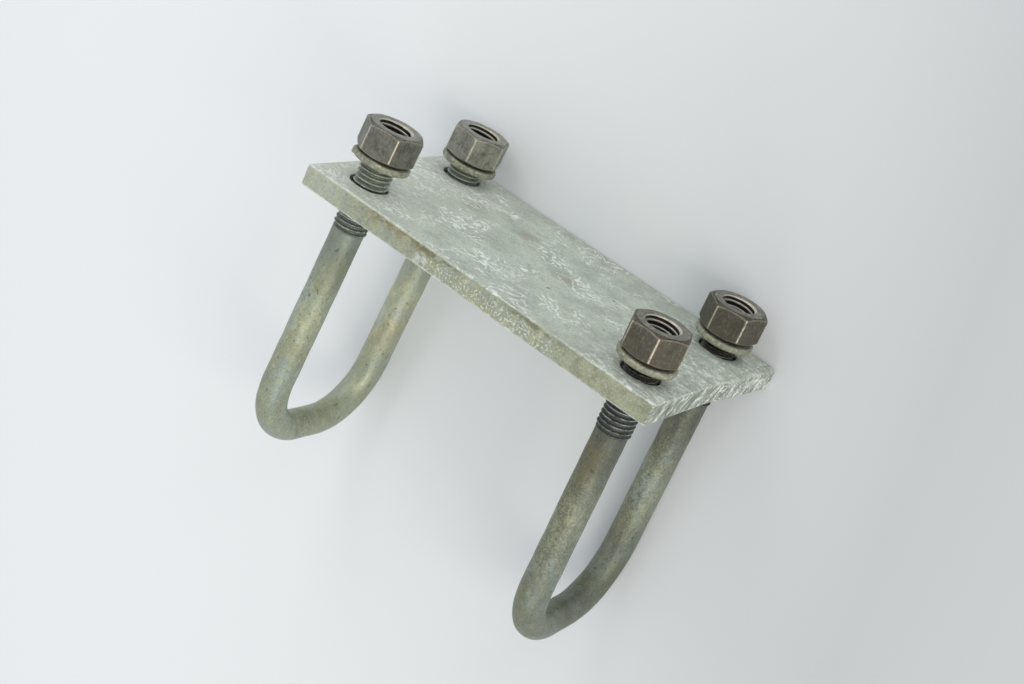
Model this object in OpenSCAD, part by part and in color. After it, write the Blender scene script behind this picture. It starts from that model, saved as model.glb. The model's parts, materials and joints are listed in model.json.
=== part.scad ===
// Twin U-bolt clamp for fixing a bar or a sign bracket across a round post.
// A flat plate is held by two bent rods with rolled threads, four spring
// washers and four hexagon nuts. All sizes are in millimetres.
//
// The clamp is worked out in the plate's own frame: x runs along the plate, y
// across it, and z stands out of the face under the nuts, which is z = 0. It is
// then laid on its side, as it comes to rest on a table: on one long edge of the
// plate and on the bend that reaches the table first.

/* [Plate] */
// Thickness of the plate with its zinc
plate_t = 10.3; // [6:0.1:16]
// Distance between the two U-bolts
hole_pitch = 151; // [110:1:220]
// From the holes to the long edges
edge_margin = 20; // [15:0.5:30]
// From the left holes to the square end
left_margin = 20; // [14:0.5:35]
// From the right holes to the crooked end, at its short front half
right_margin = 18.8; // [14:0.1:35]
// Room round a thread in its hole
hole_slack = 1; // [0.5:0.05:1.5]
// Rounding along the rolled long edges
edge_round = 1.2; // [0.4:0.1:2.5]
// Bevel at the four corners, seen from above
corner_cut = 1; // [0.4:0.1:4]
// Height of the step where the two cuts of the crooked end meet
cut_step = 1.3; // [0.4:0.1:3]
// How far the second cut runs out towards the back edge
cut_run = 2.4; // [0:0.1:5]
// Where the two cuts meet, from the middle of the plate
cut_place = 9; // [-15:1:20]

/* [U-bolts] */
// Outside diameter of the thread
thread_d = 16; // [12:0.5:18]
// How much thinner the plain rod is than its rolled thread
rolled_by = 1.3; // [0.6:0.1:1.8]
// Width between the legs, which is the post's outside diameter
post_d = 60.3; // [54:0.1:76.1]
// Radius of the two corners of the bend, at the middle of the rod
bend_r = 30; // [20:0.5:31]
// Length from the outside of the bend to the ends of the legs
bolt_len = 160; // [140:1:200]
// Length of the thread on each leg
thread_len = 43; // [36:1:60]
// Length over which the thread fades into the plain rod
thread_fade = 1.6; // [0.5:0.1:3]
// Bevel at the tip of each leg
tip_bevel = 1.2; // [0.4:0.1:2]

/* [How the U-bolts hang in the plate] */
// How far the legs of the left U-bolt stand out over the plate
stand_left = 18.2; // [16:0.1:24]
// How far the legs of the right U-bolt stand out over the plate
stand_right = 15.1; // [14:0.1:24]
// Angle that the left bend dips towards the lower edge
dip_deg_left = -1.35; // [-2:0.05:2.5]
// Angle that the right bend dips towards the lower edge
dip_deg_right = 2; // [-2:0.05:2.5]
// Angle that the left bend swings along the plate
sway_deg_left = 0.75; // [-1.5:0.05:1.5]
// Angle that the right bend swings along the plate
sway_deg_right = -1.15; // [-1.5:0.05:1.5]
// Gap between a leg and the wall of the hole that it lies on
seat_gap = 0.3; // [0.1:0.05:0.4]

/* [Nuts] */
// Width across the flats
nut_af = 25; // [22:0.5:30]
// Height
nut_h = 14; // [10:0.5:16]
// Height of the bevel at the corners, at both ends
nut_bevel = 1.5; // [0.6:0.1:1.9]
// Play between the thread and the bore of a nut
thread_play = 0.06; // [0.03:0.01:0.09]
// Width of the countersink round each mouth
mouth_w = 0.3; // [0.3:0.1:1.2]
// Length of thread inside the upper left nut
grip_upper_left = 4.8; // [3:0.1:7]
// Length of thread inside the lower left nut
grip_lower_left = 7.4; // [3:0.1:7.5]
// Length of thread inside the upper right nut
grip_upper_right = 5.0; // [3:0.1:7]
// Length of thread inside the lower right nut
grip_lower_right = 7.3; // [3:0.1:7.5]
// Turn of the upper left nut about its thread
turn_deg_upper_left = 13.6; // [0:0.1:60]
// Turn of the lower left nut about its thread
turn_deg_lower_left = 50.5; // [0:0.1:60]
// Turn of the upper right nut about its thread
turn_deg_upper_right = 53.9; // [0:0.1:60]
// Turn of the lower right nut about its thread
turn_deg_lower_right = 13.1; // [0:0.1:60]

/* [Spring washers] */
// Thickness of the square wire
washer_t = 3; // [2.5:0.1:4]
// Width of the wire, from the inside of the ring to its outside
washer_w = 5.2; // [4:0.1:6]
// Room between the ring and the thread
washer_slack = 0.4; // [0.2:0.05:0.7]
// Rise from one end of the split ring to the other
washer_rise = 1.5; // [0.4:0.1:2.5]
// Opening of the split
washer_split = 1.4; // [0.6:0.1:3]
// Rounding of the edges of the wire
washer_round = 0.9; // [0.3:0.1:1.1]
// Gap between the high end of the ring and the nut above it
washer_gap = 0.3; // [0.1:0.05:0.4]
// Where the split of the upper left washer lies round its thread
split_deg_upper_left = 215; // [0:1:359]
// Where the split of the lower left washer lies round its thread
split_deg_lower_left = 167; // [0:1:359]
// Where the split of the upper right washer lies round its thread
split_deg_upper_right = 170; // [0:1:359]
// Where the split of the lower right washer lies round its thread
split_deg_lower_right = 138; // [0:1:359]

/* [Hidden] */
$fn = 96;

// Sides of the plate, and of a leg or nut, as seen in the plate's frame
LEFT = -1;
RIGHT = 1;
UPPER = -1;
LOWER = 1;

// Rod and thread
thread_r = thread_d / 2;
rod_r = (thread_d - rolled_by) / 2;
leg_gap = post_d + 2 * rod_r;
bend_flat = leg_gap - 2 * bend_r;
bend_drop = bolt_len - rod_r - bend_r;

// Plate
plate_w = leg_gap + 2 * edge_margin;
hole_r = thread_r + hole_slack;
left_end = -hole_pitch / 2 - left_margin;
front_end = hole_pitch / 2 + right_margin;
back_end = front_end + cut_step + cut_run;

// Nut
corner_r = nut_af / sqrt(3);
bevel_deg = 30;
face_r = corner_r - nut_bevel / tan(bevel_deg);
bore_r = thread_r + thread_play;

// Washer
ring_in = thread_r + washer_slack;
ring_out = ring_in + washer_w;
ring_mid = (ring_in + ring_out) / 2;

// What differs from side to side
function dip(side) = side == LEFT ? dip_deg_left : dip_deg_right;
function sway(side) = side == LEFT ? sway_deg_left : sway_deg_right;
function stand(side) = side == LEFT ? stand_left : stand_right;
// Both legs lie on the lower walls of their holes, tilted by the dip
function sag(side) = hole_slack - seat_gap - abs(sin(dip(side))) * plate_t / 2;
// Height of the leg ends over the middle of the plate, along the legs
function tip_z(side) = stand(side) + plate_t / 2;

// Centre of a bend's lower corner, in the plate's y and z
function corner_y(side) = sag(side) + bend_flat / 2 * cos(dip(side))
    - (tip_z(side) - bend_drop) * sin(dip(side));
function corner_z(side) = -plate_t / 2 + bend_flat / 2 * sin(dip(side))
    + (tip_z(side) - bend_drop) * cos(dip(side));

// The plate leans until one of the bends reaches the table. A bend and the edge
// of the plate are both round there, so the lean follows from their two centres.
edge_y = plate_w / 2 - edge_round;
edge_z = edge_round - plate_t;
function lean(side) =
    let (dy = edge_y - corner_y(side), dz = edge_z - corner_z(side))
    acos((bend_r + rod_r - edge_round) / norm([dy, dz])) - atan2(dz, dy);
rest_lean = min(lean(LEFT), lean(RIGHT));
rest_h = edge_y * cos(rest_lean) - edge_z * sin(rest_lean) + edge_round;

// The origin is under the middle of the clamp as it lies
function nut_reach(side, level, grip) =
    (sag(side) + level * leg_gap / 2 * cos(dip(side))) * sin(rest_lean)
    + (-plate_t / 2 + level * leg_gap / 2 * sin(dip(side))) * cos(rest_lean)
    + (tip_z(side) - grip + nut_h) * cos(rest_lean + dip(side))
    + face_r * abs(sin(rest_lean + dip(side)));
function bend_reach(side) = bend_r + rod_r
    - corner_y(side) * sin(rest_lean) - corner_z(side) * cos(rest_lean)
    + max(0, bend_flat * sin(rest_lean + dip(side)));
far_y = max(
    nut_reach(LEFT, UPPER, grip_upper_left), nut_reach(LEFT, LOWER, grip_lower_left),
    nut_reach(RIGHT, UPPER, grip_upper_right), nut_reach(RIGHT, LOWER, grip_lower_right));
near_y = -max(bend_reach(LEFT), bend_reach(RIGHT));
middle_x = (left_end + back_end) / 2;
middle_y = (far_y + near_y) / 2;

// Lays what is modelled in the plate's frame on its side
module lay_down() {
    translate([-middle_x, -middle_y, rest_h])
        rotate([rest_lean - 90, 0, 0])
            children();
}

// Puts what is modelled round a U-bolt's middle line where that U-bolt hangs
module on_bolt(side) {
    translate([side * hole_pitch / 2, sag(side), -plate_t / 2])
        rotate([dip(side), sway(side), 0])
            children();
}

// Puts what is modelled round a thread on one leg, with z = 0 at the leg's tip
module on_leg(side, level) {
    on_bolt(side)
        translate([0, level * leg_gap / 2, tip_z(side)])
            children();
}

// Outline of the plate: one square end, and one that two cuts left crooked
module plate_outline() {
    w = plate_w / 2;
    c = corner_cut;
    polygon([
        [left_end, c - w], [left_end + c, -w],
        [front_end - c, -w], [front_end, c - w],
        [front_end, cut_place],
        [front_end + cut_step, cut_place + cut_step],
        [back_end, w - c], [back_end - c, w],
        [left_end + c, w], [left_end, w - c]]);
}

// Section of the rolled flat bar, lying along x
module bar_section() {
    translate([edge_round, 0]) square([plate_t - 2 * edge_round, plate_w]);
    translate([0, edge_round]) square([plate_t, plate_w - 2 * edge_round]);
    for (a = [edge_round, plate_t - edge_round], b = [edge_round, plate_w - edge_round])
        translate([a, b]) circle(edge_round);
}

module clamp_plate() {
    color("#a3ada3") lay_down() difference() {
        intersection() {
            translate([0, 0, -plate_t]) linear_extrude(plate_t) plate_outline();
            translate([left_end, -plate_w / 2, 0]) rotate([0, 90, 0])
                linear_extrude(back_end - left_end) bar_section();
        }
        for (side = [LEFT, RIGHT], level = [UPPER, LOWER])
            translate([side * hole_pitch / 2, level * leg_gap / 2, -plate_t - 1])
                cylinder(r = hole_r, h = plate_t + 2);
    }
}

// One leg from the bend to its tip, standing on z = 0
module leg() {
    top = bend_drop;
    start = top - thread_len;
    rotate_extrude() polygon([
        [0, 0], [rod_r, 0], [rod_r, start], [thread_r, start + thread_fade],
        [thread_r, top - tip_bevel], [thread_r - tip_bevel, top], [0, top]]);
}

// The bent rod, with z = 0 at the tips of its legs
module u_bolt(side) {
    color("#8f9282") lay_down() on_bolt(side)
        translate([0, 0, tip_z(side) - bend_drop]) {
            for (level = [UPPER, LOWER]) {
                translate([0, level * leg_gap / 2, 0]) leg();
                translate([0, level * bend_flat / 2, 0]) rotate([0, 90, 0])
                    rotate([0, 0, level == LOWER ? 0 : -90])
                        rotate_extrude(angle = 90) translate([bend_r, 0]) circle(rod_r);
            }
            translate([0, -bend_flat / 2, -bend_r]) rotate([-90, 0, 0])
                cylinder(r = rod_r, h = bend_flat);
        }
}

// A hexagon nut with both ends bevelled and both mouths countersunk
module hex_nut(side, level, grip, turn) {
    mouth_r = bore_r + mouth_w;
    color("#57534d") lay_down() on_leg(side, level)
        translate([0, 0, -grip]) rotate([0, 0, turn]) difference() {
            intersection() {
                linear_extrude(nut_h) circle(corner_r, $fn = 6);
                rotate_extrude() polygon([
                    [0, 0], [face_r, 0], [corner_r, nut_bevel],
                    [corner_r, nut_h - nut_bevel], [face_r, nut_h], [0, nut_h]]);
            }
            rotate_extrude() polygon([
                [0, -1], [mouth_r, -1], [mouth_r, 0], [bore_r, mouth_w],
                [bore_r, nut_h - mouth_w], [mouth_r, nut_h], [mouth_r, nut_h + 1],
                [0, nut_h + 1]]);
        }
}

// Section of the washer's wire: a rectangle with rounded corners, as [r, z]
RING_STEPS = 54;
CORNER_STEPS = 2;
wire = [for (c = [[1, 1, 0], [-1, 1, 90], [-1, -1, 180], [1, -1, 270]], k = [0:CORNER_STEPS])
    let (a = c[2] + k * 90 / CORNER_STEPS)
    [ring_mid + c[0] * (washer_w / 2 - washer_round) + washer_round * cos(a),
     c[1] * (washer_t / 2 - washer_round) + washer_round * sin(a)]];

// The wire carried round one turn, falling anticlockwise from the split
module split_ring() {
    n = len(wire);
    open = asin(washer_split / 2 / ring_mid);
    points = [for (i = [0:RING_STEPS], p = wire)
        let (a = open + (360 - 2 * open) * i / RING_STEPS)
        [p[0] * cos(a), p[0] * sin(a), p[1] + washer_rise * (0.5 - i / RING_STEPS)]];
    sides = [for (i = [0:RING_STEPS - 1], k = [0:n - 1])
        let (a = i * n + k, b = i * n + (k + 1) % n)
        each [[a, a + n, b], [b, a + n, b + n]]];
    ends = [[for (k = [0:n - 1]) k], [for (k = [n - 1:-1:0]) RING_STEPS * n + k]];
    polyhedron(points, concat(sides, ends));
}

// A spring washer under its nut, with the split turned to the given side
module spring_washer(side, level, grip, split_at) {
    color("#bdb9a6") lay_down() on_leg(side, level)
        translate([0, 0, -grip - washer_gap - (washer_t + washer_rise) / 2])
            rotate([0, 0, split_at]) split_ring();
}

clamp_plate();
u_bolt(LEFT);  // u_bolt_left
u_bolt(RIGHT);  // u_bolt_right
spring_washer(LEFT, UPPER, grip_upper_left, split_deg_upper_left);  // spring_washer_upper_left
spring_washer(LEFT, LOWER, grip_lower_left, split_deg_lower_left);  // spring_washer_lower_left
spring_washer(RIGHT, UPPER, grip_upper_right, split_deg_upper_right);  // spring_washer_upper_right
spring_washer(RIGHT, LOWER, grip_lower_right, split_deg_lower_right);  // spring_washer_lower_right
hex_nut(LEFT, UPPER, grip_upper_left, turn_deg_upper_left);  // hex_nut_upper_left
hex_nut(LEFT, LOWER, grip_lower_left, turn_deg_lower_left);  // hex_nut_lower_left
hex_nut(RIGHT, UPPER, grip_upper_right, turn_deg_upper_right);  // hex_nut_upper_right
hex_nut(RIGHT, LOWER, grip_lower_right, turn_deg_lower_right);  // hex_nut_lower_right
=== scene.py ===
"""A twin U-bolt clamp, lying on its side on a pale table.

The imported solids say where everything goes. Each piece is worked out again here as a
smooth surface, with its rolled thread, its worn edges and its zinc, and stands in for
its solid. Lengths are in millimetres until a mesh is made.

Three frames are used, all right-handed:
the plate's frame has x along the plate, y across it and z out of the face under the
nuts; a U-bolt's frame has z along its legs and y from leg to leg; the row frame is the
one that the solids are packed in, with the clamp lying on its side.
"""

import json
import logging
import math
from dataclasses import dataclass
from enum import Enum
from typing import Any

import bpy
import numpy as np
from mathutils import Matrix

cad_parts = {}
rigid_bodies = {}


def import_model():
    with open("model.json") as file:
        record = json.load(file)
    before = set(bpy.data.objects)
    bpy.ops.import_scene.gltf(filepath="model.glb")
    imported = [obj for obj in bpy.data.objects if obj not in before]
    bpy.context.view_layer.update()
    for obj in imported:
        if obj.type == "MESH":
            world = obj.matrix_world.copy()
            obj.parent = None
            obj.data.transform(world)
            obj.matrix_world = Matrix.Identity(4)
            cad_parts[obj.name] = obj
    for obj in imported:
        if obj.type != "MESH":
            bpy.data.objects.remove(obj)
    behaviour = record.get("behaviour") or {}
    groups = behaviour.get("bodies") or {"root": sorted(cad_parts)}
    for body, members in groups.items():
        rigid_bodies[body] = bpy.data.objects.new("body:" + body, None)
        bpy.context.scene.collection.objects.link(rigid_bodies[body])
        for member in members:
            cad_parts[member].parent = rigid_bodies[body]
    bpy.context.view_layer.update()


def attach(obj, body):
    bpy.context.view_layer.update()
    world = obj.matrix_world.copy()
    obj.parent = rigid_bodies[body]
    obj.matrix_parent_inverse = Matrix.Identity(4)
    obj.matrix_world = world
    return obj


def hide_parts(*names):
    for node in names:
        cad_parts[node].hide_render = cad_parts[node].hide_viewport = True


Array = np.ndarray
LOG = logging.getLogger("clamp")
MM = 0.001
NO_FANS = np.zeros((0, 3), int)
TINY = 1e-9
TOUCHING = 1e-6


class Axis(Enum):
    """The axes of a frame."""
    X = 0
    Y = 1
    Z = 2


class Side(Enum):
    """Which end of the plate."""
    LEFT = -1
    RIGHT = 1


class Level(Enum):
    """Which leg of a U-bolt, as the clamp lies."""
    UPPER = -1
    LOWER = 1


# Places

def turn(axis: Axis, degrees: float) -> Array:
    """A 4 x 4 turn, with cos and sin of the angle in the plane square to the axis.

    Args:
        axis: The axis to turn about.
        degrees: The angle, right-handed.

    Returns:
        The matrix.
    """
    c, s = math.cos(math.radians(degrees)), math.sin(math.radians(degrees))
    first, second = (axis.value + 1) % 3, (axis.value + 2) % 3
    matrix = np.eye(4)
    matrix[first, first] = matrix[second, second] = c
    matrix[first, second], matrix[second, first] = -s, s
    return matrix


def shift(x: float, y: float, z: float) -> Array:
    """A 4 x 4 shift."""
    return np.array([[1, 0, 0, x], [0, 1, 0, y], [0, 0, 1, z], [0, 0, 0, 1.0]])


def carry(matrix: Array, points: Array) -> Array:
    """Moves points, whose last axis is x, y, z, by a 4 x 4 matrix."""
    return points @ matrix[:3, :3].T + matrix[:3, 3]


@dataclass(frozen=True)
class Layout:
    """Where the clamp and its U-bolts lie."""
    lean: float = 4.908786
    height: float = 58.072186
    middle_x: float = 1.25
    middle_y: float = -58.561089
    plate_t: float = 10.3
    hole_pitch: float = 151.0
    leg_gap: float = 75.0
    hole_slack: float = 1.0
    seat_gap: float = 0.3
    dips: tuple[float, float] = (-1.35, 2.0)
    sways: tuple[float, float] = (0.75, -1.15)
    stands: tuple[float, float] = (18.2, 15.1)

    def pick(self, side: Side, pair: tuple[float, float]) -> float:
        """The left or the right value of a pair."""
        return pair[0] if side is Side.LEFT else pair[1]

    def laid(self) -> Array:
        """The matrix from the plate's frame to the row frame."""
        return shift(-self.middle_x, -self.middle_y, self.height) @ turn(Axis.X, self.lean - 90)

    def tip(self, side: Side) -> float:
        """Height of the leg ends over the middle of the plate, along the legs."""
        return self.pick(side, self.stands) + self.plate_t / 2

    def on_bolt(self, side: Side) -> Array:
        """The place of a U-bolt: it dips and sways about the middle of its two holes.

        It sags until it rests on the lower side of the holes, seat_gap short of it.

        Args:
            side: Which U-bolt.

        Returns:
            The matrix from the U-bolt's frame to the plate's frame.
        """
        dip = self.pick(side, self.dips)
        sag = self.hole_slack - self.seat_gap - abs(math.sin(math.radians(dip))) * self.plate_t / 2
        place = shift(side.value * self.hole_pitch / 2, sag, -self.plate_t / 2)
        return place @ turn(Axis.Y, self.pick(side, self.sways)) @ turn(Axis.X, dip)

    def on_leg(self, side: Side, level: Level) -> Array:
        """The matrix from a leg's frame, with z = 0 at its tip, to the plate's frame."""
        return self.on_bolt(side) @ shift(0, level.value * self.leg_gap / 2, self.tip(side))


LAYOUT = Layout()


# Numbers and meshes

def wander(points: Array, cell: float, seed: float) -> Array:
    """Smooth noise between -1 and 1 at each point.

    Each corner of a lattice of cubes has a fixed number, the fraction of
    43758.5453 sin(i 127.1 + j 311.7 + k 74.7 + seed), and the numbers blend between the
    corners by t t (3 - 2 t) along each axis.

    Args:
        points: Places, whose last axis is x, y, z.
        cell: Width of a cube.
        seed: Any number; another one gives another pattern.

    Returns:
        One value for each point.
    """
    scaled = points / cell
    low = np.floor(scaled)
    part = scaled - low
    part = part * part * (3 - 2 * part)
    total = np.zeros(points.shape[:-1])
    for corner in range(8):
        step = np.array([corner & 1, corner >> 1 & 1, corner >> 2 & 1])
        mix = np.prod(np.where(step == 1, part, 1 - part), axis=-1)
        raw = np.sin((low + step) @ np.array([127.1, 311.7, 74.7]) + seed) * 43758.5453
        total += mix * (raw - np.floor(raw))
    return 2 * total - 1


def soft_step(low: float, high: float, value: Array) -> Array:
    """Rises from 0 at low to 1 at high by t t (3 - 2 t)."""
    t = np.clip((value - low) / (high - low), 0, 1)
    return t * t * (3 - 2 * t)


def spans(*stops: tuple[float, float, int]) -> Array:
    """Joins even runs of numbers, each (from, to, count), without repeating the joints."""
    parts = [np.linspace(a, b, n, endpoint=False) for a, b, n in stops]
    return np.concatenate(parts + [np.array([stops[-1][1]])])


def net_faces(rows: int, cols: int, close_rows: bool, close_cols: bool, start: int = 0) -> Array:
    """Corner numbers of the four-sided faces of a net of rows x cols points.

    Args:
        rows: Number of rows of points.
        cols: Number of points in a row.
        close_rows: Whether the last row joins the first.
        close_cols: Whether the last point of a row joins its first.
        start: Number of the first point.

    Returns:
        An array of faces x 4.
    """
    i, j = np.meshgrid(np.arange(rows - (not close_rows)), np.arange(cols - (not close_cols)),
                       indexing="ij")
    down, along = (i + 1) % rows, (j + 1) % cols
    quads = np.stack([i * cols + j, i * cols + along, down * cols + along, down * cols + j], -1)
    return quads.reshape(-1, 4) + start


def make_piece(name: str, points: Array, quads: Array, fans: Array,
               marks: dict[str, Array]) -> bpy.types.Object:
    """Puts points and faces into a mesh, in metres, and its object into the scene.

    Args:
        name: Name of the object.
        points: Points x 3, in the row frame, in millimetres.
        quads: Faces x 4, facing outwards.
        fans: Three-sided faces x 3, facing outwards.
        marks: For each attribute, one number or three for each point.

    Returns:
        The new object, at the origin.
    """
    mesh = bpy.data.meshes.new(name)
    mesh.vertices.add(len(points))
    mesh.vertices.foreach_set("co", (points * MM).astype(np.float32).ravel())
    corners = np.concatenate([quads.ravel(), fans.ravel()]).astype(np.int32)
    counts = np.concatenate([np.full(len(quads), 4), np.full(len(fans), 3)]).astype(np.int32)
    starts = (np.cumsum(counts) - counts).astype(np.int32)
    mesh.loops.add(len(corners))
    mesh.loops.foreach_set("vertex_index", corners)
    mesh.polygons.add(len(counts))
    mesh.polygons.foreach_set("loop_start", starts)
    mesh.polygons.foreach_set("loop_total", counts)
    mesh.polygons.foreach_set("use_smooth", np.ones(len(counts), bool))
    mesh.update(calc_edges=True)
    mesh.validate()
    for key, values in marks.items():
        if values.ndim == 2:
            layer = mesh.attributes.new(key, "FLOAT_VECTOR", "POINT")
            layer.data.foreach_set("vector", values.astype(np.float32).ravel())
        else:
            layer = mesh.attributes.new(key, "FLOAT", "POINT")
            layer.data.foreach_set("value", values.astype(np.float32))
    piece = bpy.data.objects.new(name, mesh)
    bpy.context.scene.collection.objects.link(piece)
    return piece


@dataclass(frozen=True)
class Thread:
    """A right-hand thread, the same for rods and nuts, so that they mesh."""
    crest_r: float = 8.0
    root_r: float = 6.86
    pitch: float = 2.31
    crest_half: float = 0.075
    flank: float = math.sqrt(3)
    play: float = 0.06
    nut_r: float = 6.95
    nut_crest_extra: float = 0.02

    def wave(self, angle: Array, height: Array) -> Array:
        """How far a place is from the nearest crest of the rod, in pitches, 0 to 0.5.

        A crest climbs by one pitch for each turn to the left, so its distance is that
        of height / pitch - angle / 2 pi from the nearest whole number.
        """
        phase = height / self.pitch - angle / (2 * math.pi)
        return np.abs(phase - np.round(phase))

    def outside(self, angle: Array, height: Array) -> Array:
        """Radius of the rod's thread: flat crests, straight flanks, flat roots."""
        fall = (self.wave(angle, height) - self.crest_half) * self.pitch * self.flank
        return self.crest_r - np.clip(fall, 0, self.crest_r - self.root_r)

    def inside(self, angle: Array, height: Array) -> Array:
        """Radius of the nut's thread, which lies round the rod's with a little play.

        Args:
            angle: Angles about the leg.
            height: Heights along the leg, from its tip.

        Returns:
            One radius for each place.
        """
        wall = self.crest_r + self.play
        away = self.wave(angle, height) - self.crest_half - self.nut_crest_extra
        return wall - np.clip(away * self.pitch * self.flank, 0, wall - self.nut_r)


THREAD = Thread()


# Shader building

class Wire:
    """A shader socket that can be reckoned with: each operator adds a Math node."""

    def __init__(self, shop: "Shop", socket: Any) -> None:
        """Keeps the socket and the shop that adds nodes to its material."""
        self.shop, self.socket = shop, socket

    def _math(self, operation: str, *values: Any) -> "Wire":
        """Adds one Math node on these values."""
        return self.shop.node("ShaderNodeMath", {"operation": operation}, dict(enumerate(values)))

    def __add__(self, other: Any) -> "Wire":
        """This plus other."""
        return self._math("ADD", self, other)

    def __sub__(self, other: Any) -> "Wire":
        """This minus other."""
        return self._math("SUBTRACT", self, other)

    def __rsub__(self, other: Any) -> "Wire":
        """Other minus this."""
        return self._math("SUBTRACT", other, self)

    def __mul__(self, other: Any) -> "Wire":
        """This times other."""
        return self._math("MULTIPLY", self, other)

    def __truediv__(self, other: Any) -> "Wire":
        """This over other."""
        return self._math("DIVIDE", self, other)

    def __pow__(self, other: Any) -> "Wire":
        """This to the power of other."""
        return self._math("POWER", self, other)

    def __abs__(self) -> "Wire":
        """This without its sign."""
        return self._math("ABSOLUTE", self)

    __radd__, __rmul__ = __add__, __mul__

    def most(self, other: Any) -> "Wire":
        """The larger of this and other."""
        return self._math("MAXIMUM", self, other)

    def least(self, other: Any) -> "Wire":
        """The smaller of this and other."""
        return self._math("MINIMUM", self, other)

    def rise(self, low: float, high: float) -> "Wire":
        """Goes smoothly from 0 to 1.

        Args:
            low: Where it is 0; it may be the larger of the two.
            high: Where it is 1.

        Returns:
            A value from 0 to 1.
        """
        flip = low > high
        ends = {"From Min": min(low, high), "From Max": max(low, high),
                "To Min": 1.0 if flip else 0.0, "To Max": 0.0 if flip else 1.0}
        settings = {"interpolation_type": "SMOOTHSTEP"}
        return self.shop.node("ShaderNodeMapRange", settings, {"Value": self, **ends}, "Result")


def tint(code: str) -> tuple[float, float, float, float]:
    """A colour written as #rrggbb, in the linear values that a shader takes.

    Args:
        code: The colour as it looks on a screen.

    Returns:
        Red, green, blue and 1, by the sRGB curve.
    """
    parts = [int(code[i:i + 2], 16) / 255 for i in (1, 3, 5)]
    line = [p / 12.92 if p <= 0.04045 else ((p + 0.055) / 1.055) ** 2.4 for p in parts]
    return (line[0], line[1], line[2], 1.0)


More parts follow.
